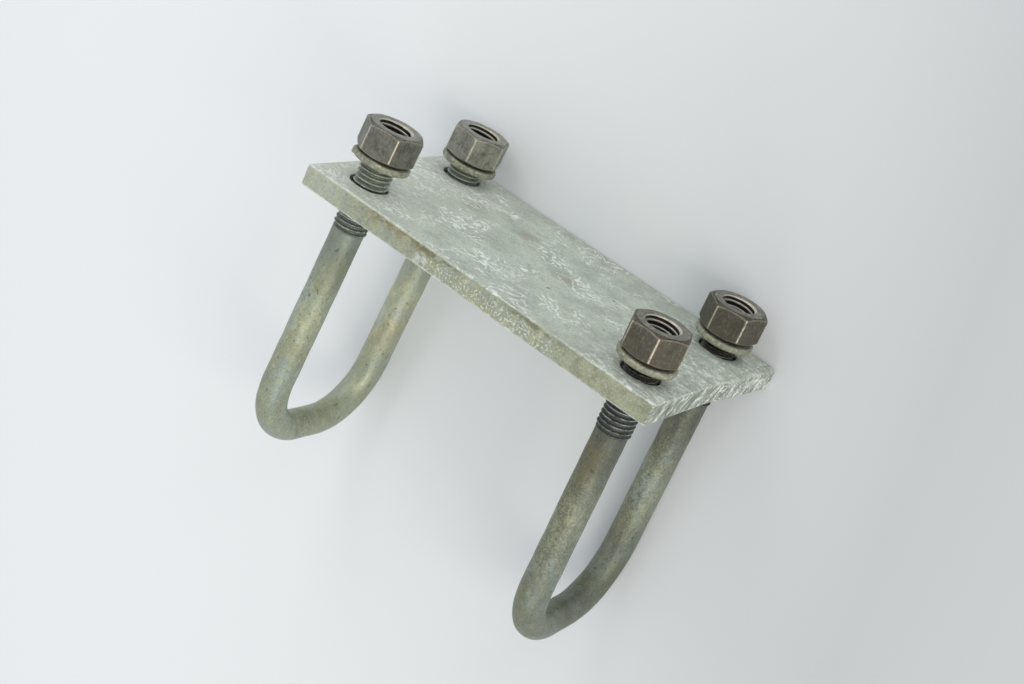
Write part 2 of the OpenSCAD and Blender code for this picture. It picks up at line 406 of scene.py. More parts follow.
class Shop:
    """Builds one material's nodes."""

    def __init__(self, name: str) -> None:
        """Starts a material with a Principled shader.

        Args:
            name: Name of the material.
        """
        self.material = bpy.data.materials.new(name)
        self.material.use_nodes = True
        self.tree = self.material.node_tree
        self.tree.nodes.clear()
        self.shader = self.tree.nodes.new("ShaderNodeBsdfPrincipled")
        output = self.tree.nodes.new("ShaderNodeOutputMaterial")
        self.tree.links.new(self.shader.outputs["BSDF"], output.inputs["Surface"])

    def node(self, kind: str, settings: dict[str, Any], values: dict[Any, Any],
             output: Any = 0) -> Wire:
        """Adds a node.

        Args:
            kind: The node's type.
            settings: Its properties, set first.
            values: For each input, by name or number, a value or a Wire.
            output: Name or number of the output wanted.

        Returns:
            That output.
        """
        node = self.tree.nodes.new(kind)
        for key, value in settings.items():
            setattr(node, key, value)
        for key, value in values.items():
            self.set(node.inputs[key], value)
        return Wire(self, node.outputs[output])

    def set(self, socket: Any, value: Any) -> None:
        """Fills an input.

        Args:
            socket: The input.
            value: A Wire, which is linked to it, or a plain value.
        """
        if isinstance(value, Wire):
            self.tree.links.new(value.socket, socket)
        else:
            socket.default_value = value

    def vector(self, operation: str, *values: Any, output: str = "Vector") -> Wire:
        """Adds one Vector Math node on these values."""
        settings = {"operation": operation}
        return self.node("ShaderNodeVectorMath", settings, dict(enumerate(values)), output)

    def mark(self, name: str, vector: bool = False) -> Wire:
        """Reads one of the piece's own attributes."""
        return self.node("ShaderNodeAttribute", {"attribute_name": name}, {},
                         "Vector" if vector else "Fac")

    def parts(self, vector: Wire) -> tuple[Wire, Wire, Wire]:
        """The x, y and z of a vector."""
        split = self.node("ShaderNodeSeparateXYZ", {}, {0: vector})
        return tuple(Wire(self, split.socket.node.outputs[i]) for i in range(3))

    def stretch(self, vector: Wire, factors: tuple[float, float, float]) -> Wire:
        """Multiplies a vector by three factors."""
        return self.vector("MULTIPLY", vector, factors)

    def noise(self, place: Wire, cell: float, detail: float = 2.0, rough: float = 0.5,
              seed: float = 0.0, output: Any = 0) -> Wire:
        """Noise from about 0 to 1.

        Args:
            place: Where it is read, in millimetres.
            cell: Width of its largest lumps, in millimetres.
            detail: Number of finer layers.
            rough: Strength of each finer layer.
            seed: Any number; another one gives another pattern.
            output: 0 for one value, "Color" for three.

        Returns:
            The noise.
        """
        values = {"Vector": place, "W": seed, "Scale": 1 / cell, "Detail": detail,
                  "Roughness": rough}
        return self.node("ShaderNodeTexNoise", {"noise_dimensions": "4D"}, values, output)

    def bent(self, place: Wire, cell: float, amount: float, seed: float) -> Wire:
        """The place, pushed by amount times (three noises minus a half).

        Args:
            place: Where it is read, in millimetres.
            cell: Width of the noise's lumps, in millimetres.
            amount: How far noise of 1 pushes, in millimetres.
            seed: Any number.

        Returns:
            The new place.
        """
        push = self.vector("SUBTRACT", self.noise(place, cell, seed=seed, output="Color"), (0.5,) * 3)
        return self.vector("MULTIPLY_ADD", push, (amount,) * 3, place)

    def blend(self, base: Any, other: Any, share: Any) -> Wire:
        """Mixes two colours; a Mix node takes the share at input 0, the colours at 6 and 7."""
        values = {0: share, 6: base, 7: other}
        return self.node("ShaderNodeMix", {"data_type": "RGBA"}, values, 2)

    def coats(self, base: Any, *layers: tuple[str, Any]) -> Wire:
        """Lays colours over a base, one after another.

        Args:
            base: The lowest colour, written as #rrggbb or a Wire.
            layers: Each a colour, written as #rrggbb, with its mask.

        Returns:
            The mixed colour.
        """
        colour = tint(base) if isinstance(base, str) else base
        for code, mask in layers:
            colour = self.blend(colour, tint(code), mask)
        return colour

    def contour(self, height: Wire, level: float, half: float) -> Wire:
        """1 where a height is at a level, and 0 where it is half or more from it."""
        return abs(height - level).rise(half, half * 0.25)

    def spot(self, place: tuple[Wire, Wire], middle: tuple[float, float], reach: float) -> Wire:
        """A round spot, by the sum of the squares of distance / reach on two axes.

        Args:
            place: Two coordinates.
            middle: Where it is 1.
            reach: Its radius, where it is 0.

        Returns:
            A value from 0 to 1.
        """
        a, b = (place[0] - middle[0]) / reach, (place[1] - middle[1]) / reach
        return (a * a + b * b).rise(1.0, 0.0)

    def close(self, colour: Wire, rough: Wire, metal: float, bumps: list[tuple[Wire, float]],
              specular: float = 0.5) -> bpy.types.Material:
        """Feeds the shader.

        Args:
            colour: Base colour.
            rough: Roughness.
            metal: Metallic.
            bumps: Heights, each with how far it stands out in millimetres.
            specular: Strength of the plain reflection.

        Returns:
            The finished material.
        """
        height = bumps[0][0] * bumps[0][1]
        for wire, amount in bumps[1:]:
            height = height + wire * amount
        bump = self.node("ShaderNodeBump", {}, {"Strength": 1.0, "Distance": MM, "Height": height})
        for name, value in (("Base Color", colour), ("Roughness", rough), ("Metallic", metal),
                            ("Specular IOR Level", specular), ("Normal", bump)):
            self.set(self.shader.inputs[name], value)
        return self.material


# Finishes

@dataclass(frozen=True)
class PlateZinc:
    """Weathered hot-dip zinc on the plate: grey-green, with white tide lines."""
    grey: str = "#c5cdbf"
    shade: str = "#aeb6ab"
    ash: str = "#979e90"
    pale: str = "#cdd3c6"
    chalk: str = "#eef3ef"
    brown: str = "#9c9680"
    olive: str = "#9da189"
    cream: str = "#c9c7a6"
    rust: str = "#7b7444"
    moss: str = "#6f705a"
    slate: str = "#7c8780"
    dark: str = "#565c56"
    metal: float = 0.2
    specular: float = 0.4
    tides: tuple[tuple[float, float], ...] = ((0.42, 0.017), (0.5, 0.019), (0.58, 0.017))
    clusters: tuple[tuple[float, float, float], ...] = (
        (-57.0, 21.0, 15.0), (-39.0, -6.0, 13.0), (-10.0, -38.0, 17.0), (2.0, 48.0, 15.0),
        (29.0, -31.0, 15.0))
    patches: tuple[tuple[float, float, float], ...] = (
        (-50.8, 14.4, 9.0), (-22.6, 19.8, 8.0), (10.0, 3.8, 9.0))
    scuffs: tuple[tuple[float, float, float], ...] = (
        (81.1, -1.4, 2.4), (87.5, 2.5, 3.0), (91.4, 9.4, 2.6))
    specks: tuple[tuple[float, float, float], ...] = (
        (14.1, -18.5, 1.1), (30.9, 13.9, 1.0), (-3.0, -9.0, 0.7), (47.0, -22.0, 0.8))
    edge_spot: tuple[float, float, float] = (-27.1, -7.4, 4.4)
    drag_along: tuple[float, float, float] = (0.0, 0.62, 0.78)
    drag_across: tuple[float, float, float] = (0.0, -0.78, 0.62)

    def gather(self, shop: Shop, flat: tuple[Wire, Wire],
               spots: tuple[tuple[float, float, float], ...]) -> Wire:
        """The strongest of several round spots.

        Args:
            shop: The material's shop.
            flat: Two coordinates.
            spots: Each the middle on both and the reach.

        Returns:
            A value from 0 to 1.
        """
        found = shop.spot(flat, spots[0][:2], spots[0][2])
        for *middle, reach in spots[1:]:
            found = found.most(shop.spot(flat, middle, reach))
        return found

    def tide(self, shop: Shop, place: Wire, drift: Wire, wisp: Wire) -> Wire:
        """White lines and dust on the big faces.

        The lines are thin contours of a wandering height, and come in patches.

        Args:
            shop: The material's shop.
            place: Place in the plate's frame.
            drift: The same, pushed about.
            wisp: The same, pushed about gently and drawn out along the plate.

        Returns:
            How chalky each place is.
        """
        x, y, _ = shop.parts(place)
        height = shop.noise(wisp, 13.0, 3.5, 0.52, seed=5.0)
        lines = shop.contour(height, *self.tides[0])
        for level, half in self.tides[1:]:
            lines = lines.most(shop.contour(height, level, half))
        loops = shop.contour(shop.noise(wisp, 6.0, 5.0, 0.56, seed=6.0), 0.47, 0.026)
        where = shop.noise(place, 24.0, 2.0, 0.5, seed=7.0).rise(0.43, 0.58) * x.rise(92.0, 44.0)
        where = where.most(self.gather(shop, (x, y), self.clusters).rise(0.0, 0.6))
        lines_fade = shop.noise(wisp, 12.0, 3.0, 0.6, seed=8.0).rise(0.34, 0.52)
        loops_fade = shop.noise(wisp, 12.0, 3.0, 0.6, seed=18.0).rise(0.48, 0.62)
        dust = shop.noise(drift, 2.2, 5.0, 0.75, seed=9.0).rise(0.52, 0.74)
        marks = (lines * lines_fade).most(loops * loops_fade * 0.65).most(dust * 0.45)
        return (marks * where).most(dust * 0.22)

    def broad(self, shop: Shop, place: Wire, drift: Wire, grain: Wire) -> tuple[Wire, Wire]:
        """The two big faces.

        Args:
            shop: The material's shop.
            place: Place in the plate's frame.
            drift: The same, pushed about.
            grain: Fine noise.

        Returns:
            The colour, and how chalky each place is.
        """
        x, y, _ = shop.parts(place)
        wisp = shop.bent(shop.bent(place, 14.0, 4.0, 16.0), 3.0, 1.3, 22.0)
        wisp = shop.stretch(wisp, (0.72, 1.0, 1.0))
        clouds = shop.noise(drift, 16.0, 4.0, 0.6, seed=2.0)
        smudge = shop.noise(drift, 5.0, 4.0, 0.65, seed=3.0)
        stipple = shop.noise(drift, 2.4, 4.0, 0.7, seed=23.0)
        fleck = shop.noise(wisp, 2.6, 5.0, 0.75, seed=20.0)
        grit = shop.noise(place, 0.9, 4.0, 0.75, seed=19.0)
        crooked_end = x.rise(46.0, 62.0)
        both_ends = crooked_end.most(x.rise(-52.0, -66.0) * 0.8)
        chalky = self.tide(shop, place, drift, wisp).most(fleck.rise(0.52, 0.58) * both_ends * 0.85)
        brown, scuff, speck = (self.gather(shop, (x, y), spots)
                               for spots in (self.patches, self.scuffs, self.specks))
        pits = shop.noise(drift, 1.8, 2.0, seed=10.0).rise(0.7, 0.78) * 0.3
        pits = pits.most(fleck.rise(0.41, 0.33) * crooked_end * 0.6)
        colour = shop.coats(
            self.grey,
            (self.shade, clouds.rise(0.4, 0.62)),
            (self.pale, smudge.rise(0.5, 0.68) * 0.5),
            (self.ash, stipple.rise(0.52, 0.66) * 0.5),
            (self.olive, y.rise(44.0, 57.0) * smudge.rise(0.36, 0.6) * 0.5),
            (self.pale, x.rise(-30.0, -66.0) * 0.85),
            (self.slate, grit.rise(0.5, 0.36) * 0.56),
            (self.pale, grit.rise(0.52, 0.66) * 0.62),
            (self.brown, brown * smudge.rise(0.34, 0.56) * 0.6),
            (self.chalk, chalky * 0.85),
            (self.chalk, scuff * grain.rise(0.4, 0.6) * 0.8),
            (self.dark, (speck * 0.8).most(pits)))
        return colour, chalky

    def sawn(self, shop: Shop, drift: Wire, y: Wire, small: Wire) -> tuple[Wire, Wire]:
        """The crooked end: pale, with slanting drag marks.

        The marks are noise on two axes in the cut, drawn out along the first.

        Args:
            shop: The material's shop.
            drift: Place in the plate's frame, pushed about.
            y: Place across the plate.
            small: Fine noise.

        Returns:
            The colour, and how high the marks stand.
        """
        along, across = (shop.vector("DOT_PRODUCT", drift, axis, output="Value")
                         for axis in (self.drag_along, self.drag_across))
        cut = shop.node("ShaderNodeCombineXYZ", {}, {0: along * 0.3, 1: across, 2: 0.0})
        drag = shop.noise(cut, 2.4, 6.0, 0.75, seed=13.0)
        white = drag.rise(0.52, 0.6).most(small.rise(0.52, 0.62) * y.rise(2.0, 12.0))
        colour = shop.coats(
            self.ash,
            (self.slate, drag.rise(0.52, 0.42)),
            (self.dark, drag.rise(0.42, 0.34) * 0.6),
            (self.chalk, white * 0.9))
        return colour, drag

    def narrow(self, shop: Shop, place: Wire, drift: Wire) -> tuple[Wire, Wire]:
        """The rolled edges and the sawn ends.

        The edge that shows has a rusty stain and dark runs under its upper rim, and
        white grains low down.

        Args:
            shop: The material's shop.
            place: Place in the plate's frame.
            drift: The same, pushed about.

        Returns:
            The colour, and how high the drag marks stand.
        """
        x, y, z = shop.parts(place)
        mottle = shop.noise(drift, 4.0, 5.0, 0.7, seed=11.0)
        small = shop.noise(place, 0.9, 3.0, 0.7, seed=12.0)
        patch = shop.noise(drift, 8.0, 3.0, 0.6, seed=17.0)
        blotch = shop.noise(shop.stretch(drift, (0.6, 1.0, 1.0)), 2.4, 5.0, 0.7, seed=21.0)
        low = z.rise(-1.8, -4.2) * x.rise(-34.0, -20.0) * x.rise(52.0, 36.0)
        spot = self.gather(shop, (x, z), (self.edge_spot,))
        stain = x.rise(-68.0, -56.0) * x.rise(-12.0, -26.0)
        stain = stain * z.rise(-7.5, -1.5) * mottle.rise(0.34, 0.5) * blotch.rise(0.4, 0.56)
        left_run = x.rise(-36.0, -28.0) * x.rise(-2.0, -14.0)
        right_run = x.rise(12.0, 27.0) * x.rise(52.0, 37.0)
        runs = left_run.most(right_run) * z.rise(-4.2, -2.2) * blotch.rise(0.42, 0.52)
        colour = shop.coats(
            self.olive,
            (self.ash, patch.rise(0.44, 0.56) * 0.8),
            (self.slate, mottle.rise(0.5, 0.34) * 0.6),
            (self.cream, mottle.rise(0.54, 0.7) * 0.36),
            (self.olive, x.rise(40.0, 70.0) * 0.55),
            (self.moss, x.rise(30.0, 56.0) * (0.1 + 0.3 * mottle.rise(0.54, 0.42))),
            (self.pale, x.rise(-64.0, -84.0) * 0.3),
            (self.chalk, small.rise(0.53, 0.63) * (0.14 + 0.44 * low)),
            (self.chalk, spot * mottle.rise(0.42, 0.6) * 0.7),
            (self.rust, stain * 0.75),
            (self.moss, runs * 0.8),
            (self.dark, small.rise(0.46, 0.36) * 0.3))
        sawn, drag = self.sawn(shop, drift, y, small)
        end = x.rise(93.0, 93.9)
        return shop.blend(colour, sawn, end), drag * end

    def make(self) -> bpy.types.Material:
        """Builds the material from the piece's place in the plate's frame.

        Returns:
            The material.
        """
        shop = Shop("plate_zinc")
        place, face = shop.mark("place", True), shop.mark("face")
        drift = shop.bent(place, 9.0, 7.0, 1.0)
        grain = shop.noise(place, 0.7, 3.0, 0.7, seed=4.0)
        waves = shop.noise(place, 7.0, 3.0, 0.6, seed=14.0)
        wear = shop.noise(place, 5.0, 5.0, 0.7, seed=15.0)
        broad, chalky = self.broad(shop, place, drift, grain)
        narrow, marks = self.narrow(shop, place, drift)
        rim = face * (1.0 - face) * 4.0
        colour = shop.coats(
            shop.blend(narrow, broad, face),
            (self.dark, grain.rise(0.6, 0.8) * 0.3),
            (self.cream, rim * wear.rise(0.52, 0.64) * 0.5),
            (self.moss, rim * wear.rise(0.5, 0.38) * 0.5))
        rough = 0.46 + 0.22 * grain + 0.14 * chalky
        bumps = [(grain, 0.12), (waves, 0.2), (chalky, 0.05), (marks, 0.5)]
        return shop.close(colour, rough, self.metal, bumps, self.specular)


@dataclass(frozen=True)
class RodZinc:
    """Mottled hot-dip zinc on the U-bolts; their threads are dark or worn grey."""
    grey: str = "#9fa790"
    olive: str = "#959370"
    cream: str = "#c0be9b"
    blue: str = "#9aaaa8"
    brown: str = "#53564c"
    soot: str = "#3f4039"
    steel: str = "#6e7c78"
    dark: str = "#4b4d44"
    pale: str = "#d9d8bf"
    patina: str = "#716b50"
    side_shade: str = "#86918f"
    worn_groove: str = "#687066"
    worn_crest: str = "#adb5a8"
    black_groove: str = "#262420"
    black_crest_sheen: str = "#5f5d57"
    left_groove: str = "#676e67"
    left_crest: str = "#bcc4b9"
    right_groove: str = "#4a4e4b"
    right_crest: str = "#a3aaa7"
    metal: float = 0.5

    def threads(self, shop: Shop, place: Wire, mottle: Wire) -> Wire:
        """The colour of the threads.

        Above the plate they are worn and grey on the left U-bolt and nearly black on
        the right one, with a painted sheen on its thin crests; below it they are dark on
        both, with a painted highlight on their thin crests.

        Args:
            shop: The material's shop.
            place: Place in the plate's frame.
            mottle: Coarse noise.

        Returns:
            The colour.
        """
        x, _, z = shop.parts(place)
        crest = shop.mark("crest")
        # thin: the narrow crest lines that get a painted highlight or sheen
        top, thin = crest.rise(0.2, 1.0), crest.rise(0.82, 1.0) * mottle.rise(0.4, 0.56)
        grit = shop.noise(place, 0.7, 3.0, 0.75, seed=9.0)
        right = x.rise(-1.0, 1.0)
        worn = shop.coats(self.worn_groove, (self.worn_crest, top * mottle.rise(0.28, 0.52)))
        black = shop.coats(self.black_groove, (self.black_crest_sheen, thin))
        left_low = shop.coats(self.left_groove, (self.left_crest, thin))
        right_low = shop.coats(self.right_groove, (self.right_crest, thin))
        above, below = shop.blend(worn, black, right), shop.blend(left_low, right_low, right)
        return shop.coats(
            shop.blend(below, above, z.rise(-1.0, 1.0)),
            (self.pale, grit.rise(0.52, 0.66) * (0.14 + 0.2 * (1.0 - right))),
            (self.black_groove, grit.rise(0.48, 0.34) * 0.5))

    def make(self, name: str) -> bpy.types.Material:
        """Builds the material from the piece's place and its thread.

        The right U-bolt is browner; both are darker by their threads and in their
        bends, and carry a brown patina in places. A bluish shade is painted along one
        side of each leg.

        Args:
            name: Name of the material.

        Returns:
            The material.
        """
        shop = Shop(name)
        place, along = shop.mark("place", True), shop.mark("along")
        x, y, _ = shop.parts(place)
        drift = shop.bent(shop.stretch(place, (1.0, 1.0, 0.6)), 6.0, 4.0, 1.0)
        clouds = shop.noise(drift, 15.0, 3.0, 0.6, seed=2.0)
        mottle = shop.noise(drift, 3.4, 5.0, 0.7, seed=3.0)
        grain = shop.noise(place, 0.8, 3.0, 0.7, seed=4.0)
        tinge = shop.noise(drift, 8.0, 3.0, seed=5.0)
        grit = shop.noise(place, 0.9, 4.0, 0.75, seed=7.0)
        smudge = shop.noise(drift, 5.0, 4.0, 0.7, seed=8.0).rise(0.62, 0.4)
        fleck = shop.noise(place, 1.0, 4.0, 0.75, seed=10.0)
        specks = shop.noise(drift, 1.5, 2.0, seed=6.0).rise(0.62, 0.7)
        right = x.rise(-1.0, 1.0)
        left = 1.0 - right
        by_thread, in_bend = along.rise(84.0, 48.0), along.rise(96.0, 128.0)
        # One side of each leg, where a bluish shade is painted
        edge = x.rise(77.0, 82.0) * 0.3 + x.rise(-75.0, -69.0) * left * 0.2
        patch = along.rise(44.0, 52.0) * along.rise(72.0, 58.0) * y.rise(0.0, -9.0)
        patch = patch * (x.rise(82.0, 77.0) * right).most(x.rise(-76.0, -72.0) * left * 0.4)
        colour = shop.coats(
            self.grey,
            (self.olive, clouds.rise(0.42, 0.6) * 0.7),
            (self.blue, tinge.rise(0.5, 0.66) * 0.6),
            (self.cream, mottle.rise(0.48, 0.68) * 0.7),
            (self.pale, grit.rise(0.53, 0.68) * 0.5),
            (self.dark, grit.rise(0.47, 0.33) * 0.45),
            (self.brown, right * (0.38 + 0.32 * smudge)),
            (self.cream, fleck.rise(0.51, 0.64) * right * 0.45),
            (self.dark, fleck.rise(0.49, 0.36) * (0.15 + 0.35 * right)),
            # painted bluish shade along one side of each leg
            (self.side_shade, edge * mottle.rise(0.62, 0.44)),
            (self.pale, left * y.rise(-8.0, 8.0) * 0.16),
            (self.steel, by_thread * left * 0.6),
            (self.soot, by_thread * right * 0.62),
            (self.steel, in_bend * (0.26 + 0.1 * right)),
            (self.patina, in_bend * right * clouds.rise(0.5, 0.6) * 0.3),
            (self.soot, in_bend * right * y.rise(-8.0, 8.0) * 0.3),
            (self.patina, patch * mottle.rise(0.36, 0.5) * 0.6),
            (self.soot, specks * 0.55))
        colour = shop.blend(colour, self.threads(shop, place, mottle), shop.mark("thread"))
        rough = 0.3 + 0.2 * grain + 0.1 * mottle
        return shop.close(colour, rough, self.metal, [(grain, 0.12), (mottle, 0.16)])


@dataclass(frozen=True)
class WasherZinc:
    """Creamy grey zinc on the spring washers."""
    cream: str = "#9b9a83"
    grey: str = "#7f8275"
    dark: str = "#5a5748"
    pale: str = "#cfcdb8"
    metal: float = 0.3

    def make(self) -> bpy.types.Material:
        """Builds the material from the piece's place.

        Returns:
            The material.
        """
        shop = Shop("washer_zinc")
        place = shop.mark("place", True)
        mottle = shop.noise(place, 3.0, 5.0, 0.7, seed=1.0)
        small = shop.noise(place, 1.2, 4.0, 0.7, seed=3.0)
        grain = shop.noise(place, 0.7, 3.0, 0.7, seed=2.0)
        colour = shop.coats(
            self.cream,
            (self.grey, mottle.rise(0.4, 0.56)),
            (self.pale, small.rise(0.52, 0.64) * 0.6),
            (self.dark, small.rise(0.46, 0.36) * 0.5),
            (self.dark, grain.rise(0.56, 0.7) * 0.4))
        rough = 0.42 + 0.22 * grain
        return shop.close(colour, rough, self.metal, [(grain, 0.08), (mottle, 0.14)])


@dataclass(frozen=True)
class DarkSteel:
    """Plain dark steel of the nuts, worn bright along its edges, with painted highlights on its bevel arcs,
    a painted reflection in its mouths, and painted shade and glints in its bores.
    """
    brown: str = "#625e50"
    slate: str = "#74756b"
    soot: str = "#45433b"
    ash: str = "#a3a49b"
    bright: str = "#cbc4ae"
    groove_shade: str = "#262522"
    ridge: str = "#bcb9ae"
    metal: float = 0.6

    def make(self) -> bpy.types.Material:
        """Builds the material from the piece's place, its bright edges and its bore.

        The top face is lighter, with faint turning marks round the bore. The bright edges are
        worn, and carry painted highlights on the bevel arcs and mouth cones; the bore gets
        painted shade in its thread's roots and painted glints on its crests.

        Returns:
            The material.
        """
        shop = Shop("dark_steel")
        place, top, in_bore = shop.mark("place", True), shop.mark("top"), shop.mark("bore")
        x, y, _ = shop.parts(place)
        clouds = shop.noise(place, 7.0, 4.0, 0.65, seed=1.0)
        stain = shop.noise(place, 2.4, 4.0, 0.65, seed=4.0)
        grain = shop.noise(place, 0.6, 3.0, 0.7, seed=2.0)
        streaks = shop.noise(shop.stretch(place, (1.0, 1.0, 0.14)), 0.5, 2.0, 0.6, seed=5.0)
        dapple = shop.noise(place, 1.3, 4.0, 0.75, seed=8.0)
        ring = shop.node("ShaderNodeCombineXYZ", {}, {0: shop.mark("radius"), 1: 0.0, 2: 0.0})
        rings = shop.noise(ring, 0.5, 2.0, 0.6, seed=6.0)
        right, back = x.rise(-1.0, 1.0), y.rise(-1.0, 1.0)
        colour = shop.coats(
            self.slate,
            (self.brown, right),
            (self.ash, back * (1.0 - right) * 0.45),
            (self.soot, right * (0.32 + 0.1 * back)),
            (self.soot, clouds.rise(0.44, 0.66) * 0.6),
            (self.soot, stain.rise(0.54, 0.7) * 0.45),
            (self.soot, streaks.rise(0.5, 0.66) * 0.4),
            (self.bright, streaks.rise(0.42, 0.3) * 0.14),
            (self.soot, dapple.rise(0.53, 0.64) * 0.5),
            (self.ash, dapple.rise(0.46, 0.34) * 0.26),
            (self.ash, top * (0.16 + 0.3 * rings.rise(0.42, 0.6))),
            (self.bright, top * stain.rise(0.5, 0.36) * 0.3))
        # Painted shade in the roots of the bore's thread, and painted glints on its crests and mouth cones
        bore = shop.coats(self.groove_shade, (self.ridge, shop.mark("ridge").rise(0.45, 0.95)))
        # The bright edges: wear on the upright corners, and also a painted highlight on the bevel arcs and
        # mouth cones
        worn = shop.mark("edge") * shop.noise(place, 1.9, 4.0, 0.75, seed=3.0).rise(0.34, 0.52)
        colour = shop.coats(shop.blend(colour, bore, in_bore), (self.bright, worn * 0.95))
        rough = 0.36 + 0.22 * grain - 0.08 * worn - 0.16 * in_bore
        return shop.close(colour, rough, self.metal, [(grain, 0.04), (clouds, 0.07)])


# Pieces

@dataclass
class Plate:
    """The flat plate: a rolled bar with four drilled holes and one crooked end."""
    width: float = 115.0
    left_end: float = -95.5
    front_end: float = 94.3
    back_end: float = 98.0
    cut_step: float = 1.3
    cut_place: float = 9.0
    edge_round: float = 1.2
    hole_r: float = 9.0
    block: float = 14.0
    block_cells: int = 24
    middle_cells: tuple[int, int] = (84, 32)
    outer_cells: int = 5
    rings: int = 9
    rim: float = 0.5
    rim_steps: tuple[float, ...] = (0.0, 0.13, 0.36, 0.68, 1.0)
    wall_rows: int = 12
    edge_rows: int = 9
    wear_reach: float = 6.0
    face_band: tuple[float, float] = (1.2, 0.4)

    def lines(self, low: float, high: float, holes: float, inner: int) -> Array:
        """Places of the net's lines along one axis, close together at the ends.

        Args:
            low: One end of the plate.
            high: The other end.
            holes: How far the holes' middles are from the plate's middle.
            inner: Number of cells between the blocks round the holes.

        Returns:
            The places, rising.
        """
        bend = self.edge_round * (1 - np.sin(np.radians(np.arange(90, 0, -15))))
        a, b, c, d = (hole + reach for hole in (-holes, holes) for reach in (-self.block, self.block))
        inside = spans((low + self.edge_round, a, self.outer_cells), (a, b, self.block_cells),
                       (b, c, inner), (c, d, self.block_cells),
                       (d, high - self.edge_round, self.outer_cells))
        return np.concatenate([low + bend, inside, high - bend[::-1]])

    def end_at(self, y: Array) -> Array:
        """Where the crooked end lies: two cuts with a slanting step between them.

        Args:
            y: Places across the plate.

        Returns:
            The x of the end at each.
        """
        first = self.front_end
        second = first + self.cut_step
        slope = (self.back_end - second) / (self.width / 2 - self.cut_place - self.cut_step)
        ramp = np.clip(y - self.cut_place, 0, self.cut_step)
        return first + ramp + np.clip(y - self.cut_place - self.cut_step, 0, None) * slope

    def shaped(self, flat: Array) -> Array:
        """Bends the plain box to the plate: round edges and corners, and its crooked end.

        A point's place in the rounding is p = 1 - distance / radius for each of the two
        nearest edges, from 0 inside to 1 at the edge; the larger of the two says how far
        the face falls there, and scaling the pair to that length rounds the corner.

        Args:
            flat: Points x 3 on the plain box.

        Returns:
            The points on the plate.
        """
        half_w, half_t = self.width / 2, LAYOUT.plate_t / 2
        x, y, z = flat.T.copy()
        r = self.edge_round
        near_l = np.clip(1 - (x - self.left_end) / r, 0, 1)
        near_r = np.clip(1 - (self.front_end - x) / r, 0, 1)
        px, py = np.maximum(near_l, near_r), np.clip(1 - (half_w - np.abs(y)) / r, 0, 1)
        p = np.maximum(px, py)
        drop = r * (1 - np.sqrt(np.clip(1 - p * p, 0, 1)))
        on_face = np.abs(np.abs(z + half_t) - half_t) < TOUCHING
        z = np.where(on_face, z - np.sign(z + half_t) * drop, z)
        scale = p / np.maximum(np.hypot(px, py), TINY)
        both = (px > 0) & (py > 0)
        x = np.where(both, x + (1 - scale) * px * r * np.where(near_l > 0, 1, -1), x)
        y = np.where(both, y - (1 - scale) * py * r * np.sign(y), y)
        # Stretch what lies beyond the right holes out to the crooked end
        start = LAYOUT.hole_pitch / 2 + self.block
        share = np.clip((x - start) / (self.front_end - start), 0, 1)
        return np.stack([x + share * (self.end_at(y) - self.front_end), y, z], -1)

    def middles(self) -> list[Array]:
        """The middles of the four holes, as (x, y)."""
        half = np.array([LAYOUT.hole_pitch, LAYOUT.leg_gap]) / 2
        return [half * (a, b) for a in (-1, 1) for b in (-1, 1)]

    def faces(self, xs: Array, ys: Array) -> list[tuple[Array, Array]]:
        """The nets of the two big faces, open at the square block round each hole.

        Args:
            xs: The net's lines along the plate.
            ys: The net's lines across it.

        Returns:
            For each face, its points and the corners of its cells.
        """
        gx, gy = np.meshgrid(xs, ys, indexing="ij")
        cells = net_faces(len(xs), len(ys), False, False)
        centres = np.stack([gx, gy], -1).reshape(-1, 2)[cells].mean(1)
        clear = np.all([np.abs(centres - hole).max(1) > self.block for hole in self.middles()], 0)
        top = np.stack([gx, gy, np.zeros_like(gx)], -1).reshape(-1, 3)
        below = top - np.array([0, 0, LAYOUT.plate_t])
        return [(top, cells[clear][:, ::-1]), (below, cells[clear])]

    def holes(self) -> list[tuple[Array, Array]]:
        """The nets that join each square block to its round hole, and the holes' walls.

        Between the hole and the square, a point is circle x (1 - share) + square x
        share. The mouth of a hole is rounded by a quarter of a circle.

        Returns:
            For each net, its points and the corners of its cells.
        """
        n, t = self.block_cells, LAYOUT.plate_t
        side, one = np.linspace(-1, 1, n, endpoint=False), np.ones(n)
        square = np.concatenate([np.stack([side, -one], -1), np.stack([one, side], -1),
                                 np.stack([-side, one], -1), np.stack([-one, -side], -1)])
        angle = np.arctan2(square[:, 1], square[:, 0])
        circle = np.stack([np.cos(angle), np.sin(angle)], -1) * self.hole_r
        steps, mouth = np.array(self.rim_steps), self.rim / (self.block - self.hole_r)
        share = np.concatenate([steps * mouth, np.linspace(mouth, 1, self.rings)[1:]])
        fall = np.concatenate([self.rim * (1 - np.sqrt(1 - (1 - steps) ** 2)),
                               np.zeros(self.rings - 1)])
        ring = circle * (1 - share[:, None, None]) + square * self.block * share[:, None, None]
        depths = np.linspace(self.rim, t - self.rim, self.wall_rows)

        def net(flat: Array, heights: Array) -> Array:
            """Gives each row of a flat net its height."""
            tall = np.broadcast_to(heights[:, None, None], flat.shape[:2] + (1,))
            return np.concatenate([flat, tall], -1)

        nets = []
        for hole in self.middles():
            up = net(ring + hole, -fall)
            down = up * np.array([1, 1, -1]) - np.array([0, 0, t])
            wall = net(np.broadcast_to(circle + hole, (len(depths), 4 * n, 2)), -depths)
            cells = net_faces(len(share), 4 * n, False, True)
            nets += [(up, cells[:, ::-1]), (down, cells),
                     (wall, net_faces(len(depths), 4 * n, False, True))]
        return [(points.reshape(-1, 3), cells) for points, cells in nets]

